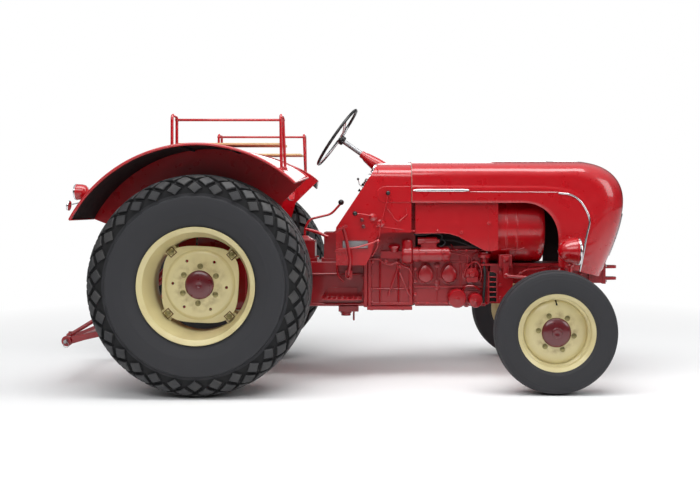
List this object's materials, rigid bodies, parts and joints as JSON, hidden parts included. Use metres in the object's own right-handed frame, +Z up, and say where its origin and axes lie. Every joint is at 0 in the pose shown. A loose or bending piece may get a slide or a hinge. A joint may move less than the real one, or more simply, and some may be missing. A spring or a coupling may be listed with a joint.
{
  "type": "vintage farm tractor",
  "caption": "Vintage farm tractor with a long rounded bonnet, open driver's seat, large rear wheels, steered front wheels, fender seats with rails, a rear drawbar and a front towing jaw.",
  "frame": {"origin": "on the ground, at the middle of the tractor's box", "axes": "+X towards the front, +Y to the driver's left, +Z up"},
  "size_m": [3.4574, 1.626, 1.6964],
  "materials": {
    "red_paint": "gloss",
    "cream_paint": "gloss",
    "tyre_rubber": "matte",
    "black_plastic": "gloss",
    "varnished_wood": "varnished",
    "bare_steel": "satin",
    "dark_mesh": "satin"
  },
  "bodies": {
    "chassis": {"brake_pedal": "red_paint", "clutch_housing": "red_paint", "clutch_pedal": "red_paint", "cooling_shroud": "red_paint", "cowl": "red_paint", "crankcase_covers": "red_paint", "cylinder_bank": "red_paint", "drawbar": "red_paint", "drawbar_stays": "red_paint", "driver_seat": "red_paint", "engine_block": "red_paint", "exhaust": "bare_steel", "fender_left": "red_paint", "fender_rail_left": "red_paint", "fender_rail_right": "red_paint", "fender_right": "red_paint", "foot_plate_left": "red_paint", "foot_plate_right": "red_paint", "front_axle": "red_paint", "front_carrier": "red_paint", "front_hitch_jaw": "red_paint", "gear_lever": "red_paint", "gearbox": "red_paint", "headlamp_left": "red_paint", "headlamp_right": "red_paint", "lift_housing": "red_paint", "lift_rod_left": "red_paint", "lift_rod_right": "red_paint", "lower_link_left": "red_paint", "lower_link_right": "red_paint", "oil_filters": "red_paint", "rear_axle_housing": "red_paint", "seat_board_left": "varnished_wood", "seat_board_right": "varnished_wood", "seat_spring": "red_paint", "starter_motor": "red_paint", "steering_column": "red_paint", "tail_lamp_left": "red_paint", "tail_lamp_right": "red_paint"},
    "front_wheel_left": {"front_rim_left": "cream_paint", "front_tyre_left": "tyre_rubber"},
    "front_wheel_right": {"front_rim_right": "cream_paint", "front_tyre_right": "tyre_rubber"},
    "rear_wheel_left": {"rear_rim_left": "cream_paint", "rear_wheel_centre_left": "cream_paint", "rear_tyre_left": "tyre_rubber"},
    "rear_wheel_right": {"rear_rim_right": "cream_paint", "rear_wheel_centre_right": "cream_paint", "rear_tyre_right": "tyre_rubber"},
    "knuckle_left": {"knuckle_left": "red_paint"},
    "knuckle_right": {"knuckle_right": "red_paint"},
    "tie_rod": {"tie_rod": "red_paint"},
    "drop_arm": {"drop_arm": "red_paint"},
    "drag_link": {"drag_link": "red_paint"},
    "steering_wheel": {"steering_wheel": "black_plastic"},
    "bonnet": {"bonnet": "red_paint", "grille": "dark_mesh"}
  },
  "joints": [
    {"name": "steering", "type": "hinge", "parent": "chassis", "child": "knuckle_left", "pos_m": [1.1895, 0.5, 0.352], "axis": [0, 0, 1], "range_deg": [-35, 35]},
    {"name": "steering_right", "type": "hinge", "parent": "chassis", "child": "knuckle_right", "pos_m": [1.1895, -0.5, 0.352], "axis": [0, 0, 1], "range_deg": [-35, 35]},
    {"name": "front_wheel_left_spin", "type": "hinge", "parent": "knuckle_left", "child": "front_wheel_left", "pos_m": [1.1895, 0.625, 0.352], "axis": [0, 1, 0], "continuous": true},
    {"name": "front_wheel_right_spin", "type": "hinge", "parent": "knuckle_right", "child": "front_wheel_right", "pos_m": [1.1895, -0.625, 0.352], "axis": [0, 1, 0], "continuous": true},
    {"name": "rear_wheel_left_spin", "type": "hinge", "parent": "chassis", "child": "rear_wheel_left", "pos_m": [-0.8305, 0.6, 0.625], "axis": [0, 1, 0], "continuous": true},
    {"name": "rear_wheel_right_spin", "type": "hinge", "parent": "chassis", "child": "rear_wheel_right", "pos_m": [-0.8305, -0.6, 0.625], "axis": [0, 1, 0], "continuous": true},
    {"name": "tie_rod_pivot", "type": "hinge", "parent": "knuckle_left", "child": "tie_rod", "pos_m": [1.0495, 0.46, 0.3605], "axis": [0, 0, 1], "range_deg": [-35, 35]},
    {"name": "drop_arm_pivot", "type": "hinge", "parent": "chassis", "child": "drop_arm", "pos_m": [0.9595, -0.252, 0.742], "axis": [0, 1, 0], "range_deg": [-35, 35]},
    {"name": "drag_link_pivot", "type": "hinge", "parent": "drop_arm", "child": "drag_link", "pos_m": [0.9595, -0.2623, 0.642], "axis": [0, 1, 0], "range_deg": [-35, 35]},
    {"name": "steering_wheel_turn", "type": "hinge", "parent": "chassis", "child": "steering_wheel", "pos_m": [-0.0695, 0, 1.4985], "axis": [-0.8191, 0, 0.5736], "range_deg": [-360, 360]},
    {"name": "bonnet_hinge", "type": "hinge", "parent": "chassis", "child": "bonnet", "pos_m": [0.3825, 0, 1.3515], "axis": [0, -1, 0], "range_deg": [0, 50]}
  ],
  "couplings": [
    {"joint": "steering_right", "follows": "steering", "ratio": 1},
    {"joint": "tie_rod_pivot", "follows": "steering", "ratio": -1},
    {"joint": "drop_arm_pivot", "follows": "steering", "ratio": 1},
    {"joint": "drag_link_pivot", "follows": "steering", "ratio": -1},
    {"joint": "steering_wheel_turn", "follows": "steering", "ratio": 10}
  ]
}
